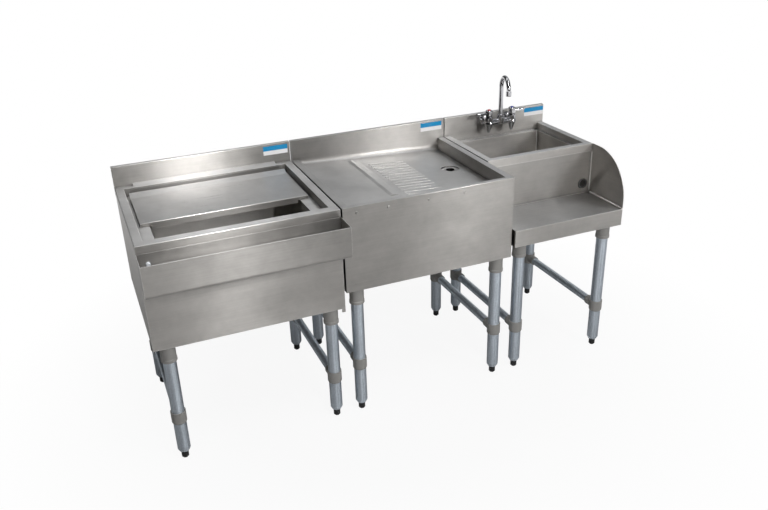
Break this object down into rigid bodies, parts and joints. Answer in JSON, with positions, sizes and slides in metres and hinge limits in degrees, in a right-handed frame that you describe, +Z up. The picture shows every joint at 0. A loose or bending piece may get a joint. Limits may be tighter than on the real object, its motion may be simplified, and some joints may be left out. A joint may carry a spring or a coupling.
{
  "type": "underbar sink station",
  "caption": "Stainless underbar station: insulated ice bin with sliding cover and speed rail, pitched drainboard, and small sink with gooseneck faucet and blender shelf.",
  "frame": {"origin": "centre of the bounding box's base, on the floor between the feet", "axes": "+X along the station's length, to the right as the user faces it; +Y towards the backsplash; +Z up"},
  "size_m": [1.6734, 0.6426, 0.9935],
  "materials": {
    "stainless": "brushed satin, grain along the length",
    "galvanised": "dull zinc with a faint blue cast",
    "cast_alloy": "matte as-cast grey",
    "foot_plastic": "matte black",
    "chrome": "polished",
    "grommet_rubber": "matte",
    "nylon": "matte white",
    "label_film": "gloss, blue upper band over a white lower band, blank",
    "red_button": "gloss",
    "blue_button": "gloss",
    "foam": "matte rigid foam"
  },
  "bodies": {
    "station": {"bin_drain": "stainless", "bin_insulation": "foam", "bin_label": "label_film", "bin_leg_braces": "galvanised", "bin_leg_sockets": "cast_alloy", "bin_leg_tees": "cast_alloy", "bin_legs": "galvanised", "bin_liner": "stainless", "bin_shell": "stainless", "bin_top": "stainless", "blender_shelf": "stainless", "cord_grommet": "grommet_rubber", "drain_nuts": "chrome", "drainboard_body": "stainless", "drainboard_drain": "stainless", "drainboard_label": "label_film", "drainboard_leg_braces": "galvanised", "drainboard_leg_sockets": "cast_alloy", "drainboard_leg_tees": "cast_alloy", "drainboard_legs": "galvanised", "drainboard_screws": "stainless", "drainboard_top": "stainless", "faucet_body": "chrome", "faucet_locknuts": "chrome", "joining_bolts": "stainless", "rail_cap_nut": "nylon", "rear_cover": "stainless", "side_splash": "stainless", "sink_bowl": "stainless", "sink_drain": "stainless", "sink_frame": "stainless", "sink_front_panel": "stainless", "sink_label": "label_film", "sink_leg_braces": "galvanised", "sink_leg_sockets": "cast_alloy", "sink_leg_tees": "cast_alloy", "sink_legs": "galvanised", "sink_top": "stainless", "speed_rail": "stainless", "spout_nut": "chrome"},
    "sliding_cover": {"sliding_cover": "stainless"},
    "spout": {"faucet_spout": "chrome", "faucet_aerator": "chrome"},
    "hot_valve": {"hot_handle": "chrome", "hot_index": "red_button"},
    "cold_valve": {"cold_handle": "chrome", "cold_index": "blue_button"},
    "bin_foot_front_left": {"bin_foot_front_left": "foot_plastic"},
    "bin_foot_front_right": {"bin_foot_front_right": "foot_plastic"},
    "bin_foot_rear_left": {"bin_foot_rear_left": "foot_plastic"},
    "bin_foot_rear_right": {"bin_foot_rear_right": "foot_plastic"},
    "drainboard_foot_front_left": {"drainboard_foot_front_left": "foot_plastic"},
    "drainboard_foot_front_right": {"drainboard_foot_front_right": "foot_plastic"},
    "drainboard_foot_rear_left": {"drainboard_foot_rear_left": "foot_plastic"},
    "drainboard_foot_rear_right": {"drainboard_foot_rear_right": "foot_plastic"},
    "sink_foot_front_left": {"sink_foot_front_left": "foot_plastic"},
    "sink_foot_front_right": {"sink_foot_front_right": "foot_plastic"},
    "sink_foot_rear_left": {"sink_foot_rear_left": "foot_plastic"},
    "sink_foot_rear_right": {"sink_foot_rear_right": "foot_plastic"}
  },
  "joints": [
    {"name": "cover_slide", "type": "slide", "parent": "station", "child": "sliding_cover", "axis": [0, 1, 0], "range_m": [-0.164, 0.021]},
    {"name": "spout_swivel", "type": "hinge", "parent": "station", "child": "spout", "pos_m": [0.6144, 0.2487, 0.83], "axis": [0, 0, 1], "continuous": true},
    {"name": "hot_turn", "type": "hinge", "parent": "station", "child": "hot_valve", "pos_m": [0.5636, 0.2487, 0.84], "axis": [0, 0, 1], "range_deg": [0, 90]},
    {"name": "cold_turn", "type": "hinge", "parent": "station", "child": "cold_valve", "pos_m": [0.6652, 0.2487, 0.84], "axis": [0, 0, 1], "range_deg": [-90, 0]},
    {"name": "bin_foot_front_left_screw", "type": "slide", "parent": "station", "child": "bin_foot_front_left", "axis": [0, 0, -1], "range_m": [0, 0.025]},
    {"name": "bin_foot_front_right_screw", "type": "slide", "parent": "station", "child": "bin_foot_front_right", "axis": [0, 0, -1], "range_m": [0, 0.025]},
    {"name": "bin_foot_rear_left_screw", "type": "slide", "parent": "station", "child": "bin_foot_rear_left", "axis": [0, 0, -1], "range_m": [0, 0.025]},
    {"name": "bin_foot_rear_right_screw", "type": "slide", "parent": "station", "child": "bin_foot_rear_right", "axis": [0, 0, -1], "range_m": [0, 0.025]},
    {"name": "drainboard_foot_front_left_screw", "type": "slide", "parent": "station", "child": "drainboard_foot_front_left", "axis": [0, 0, -1], "range_m": [0, 0.025]},
    {"name": "drainboard_foot_front_right_screw", "type": "slide", "parent": "station", "child": "drainboard_foot_front_right", "axis": [0, 0, -1], "range_m": [0, 0.025]},
    {"name": "drainboard_foot_rear_left_screw", "type": "slide", "parent": "station", "child": "drainboard_foot_rear_left", "axis": [0, 0, -1], "range_m": [0, 0.025]},
    {"name": "drainboard_foot_rear_right_screw", "type": "slide", "parent": "station", "child": "drainboard_foot_rear_right", "axis": [0, 0, -1], "range_m": [0, 0.025]},
    {"name": "sink_foot_front_left_screw", "type": "slide", "parent": "station", "child": "sink_foot_front_left", "axis": [0, 0, -1], "range_m": [0, 0.025]},
    {"name": "sink_foot_front_right_screw", "type": "slide", "parent": "station", "child": "sink_foot_front_right", "axis": [0, 0, -1], "range_m": [0, 0.025]},
    {"name": "sink_foot_rear_left_screw", "type": "slide", "parent": "station", "child": "sink_foot_rear_left", "axis": [0, 0, -1], "range_m": [0, 0.025]},
    {"name": "sink_foot_rear_right_screw", "type": "slide", "parent": "station", "child": "sink_foot_rear_right", "axis": [0, 0, -1], "range_m": [0, 0.025]}
  ]
}
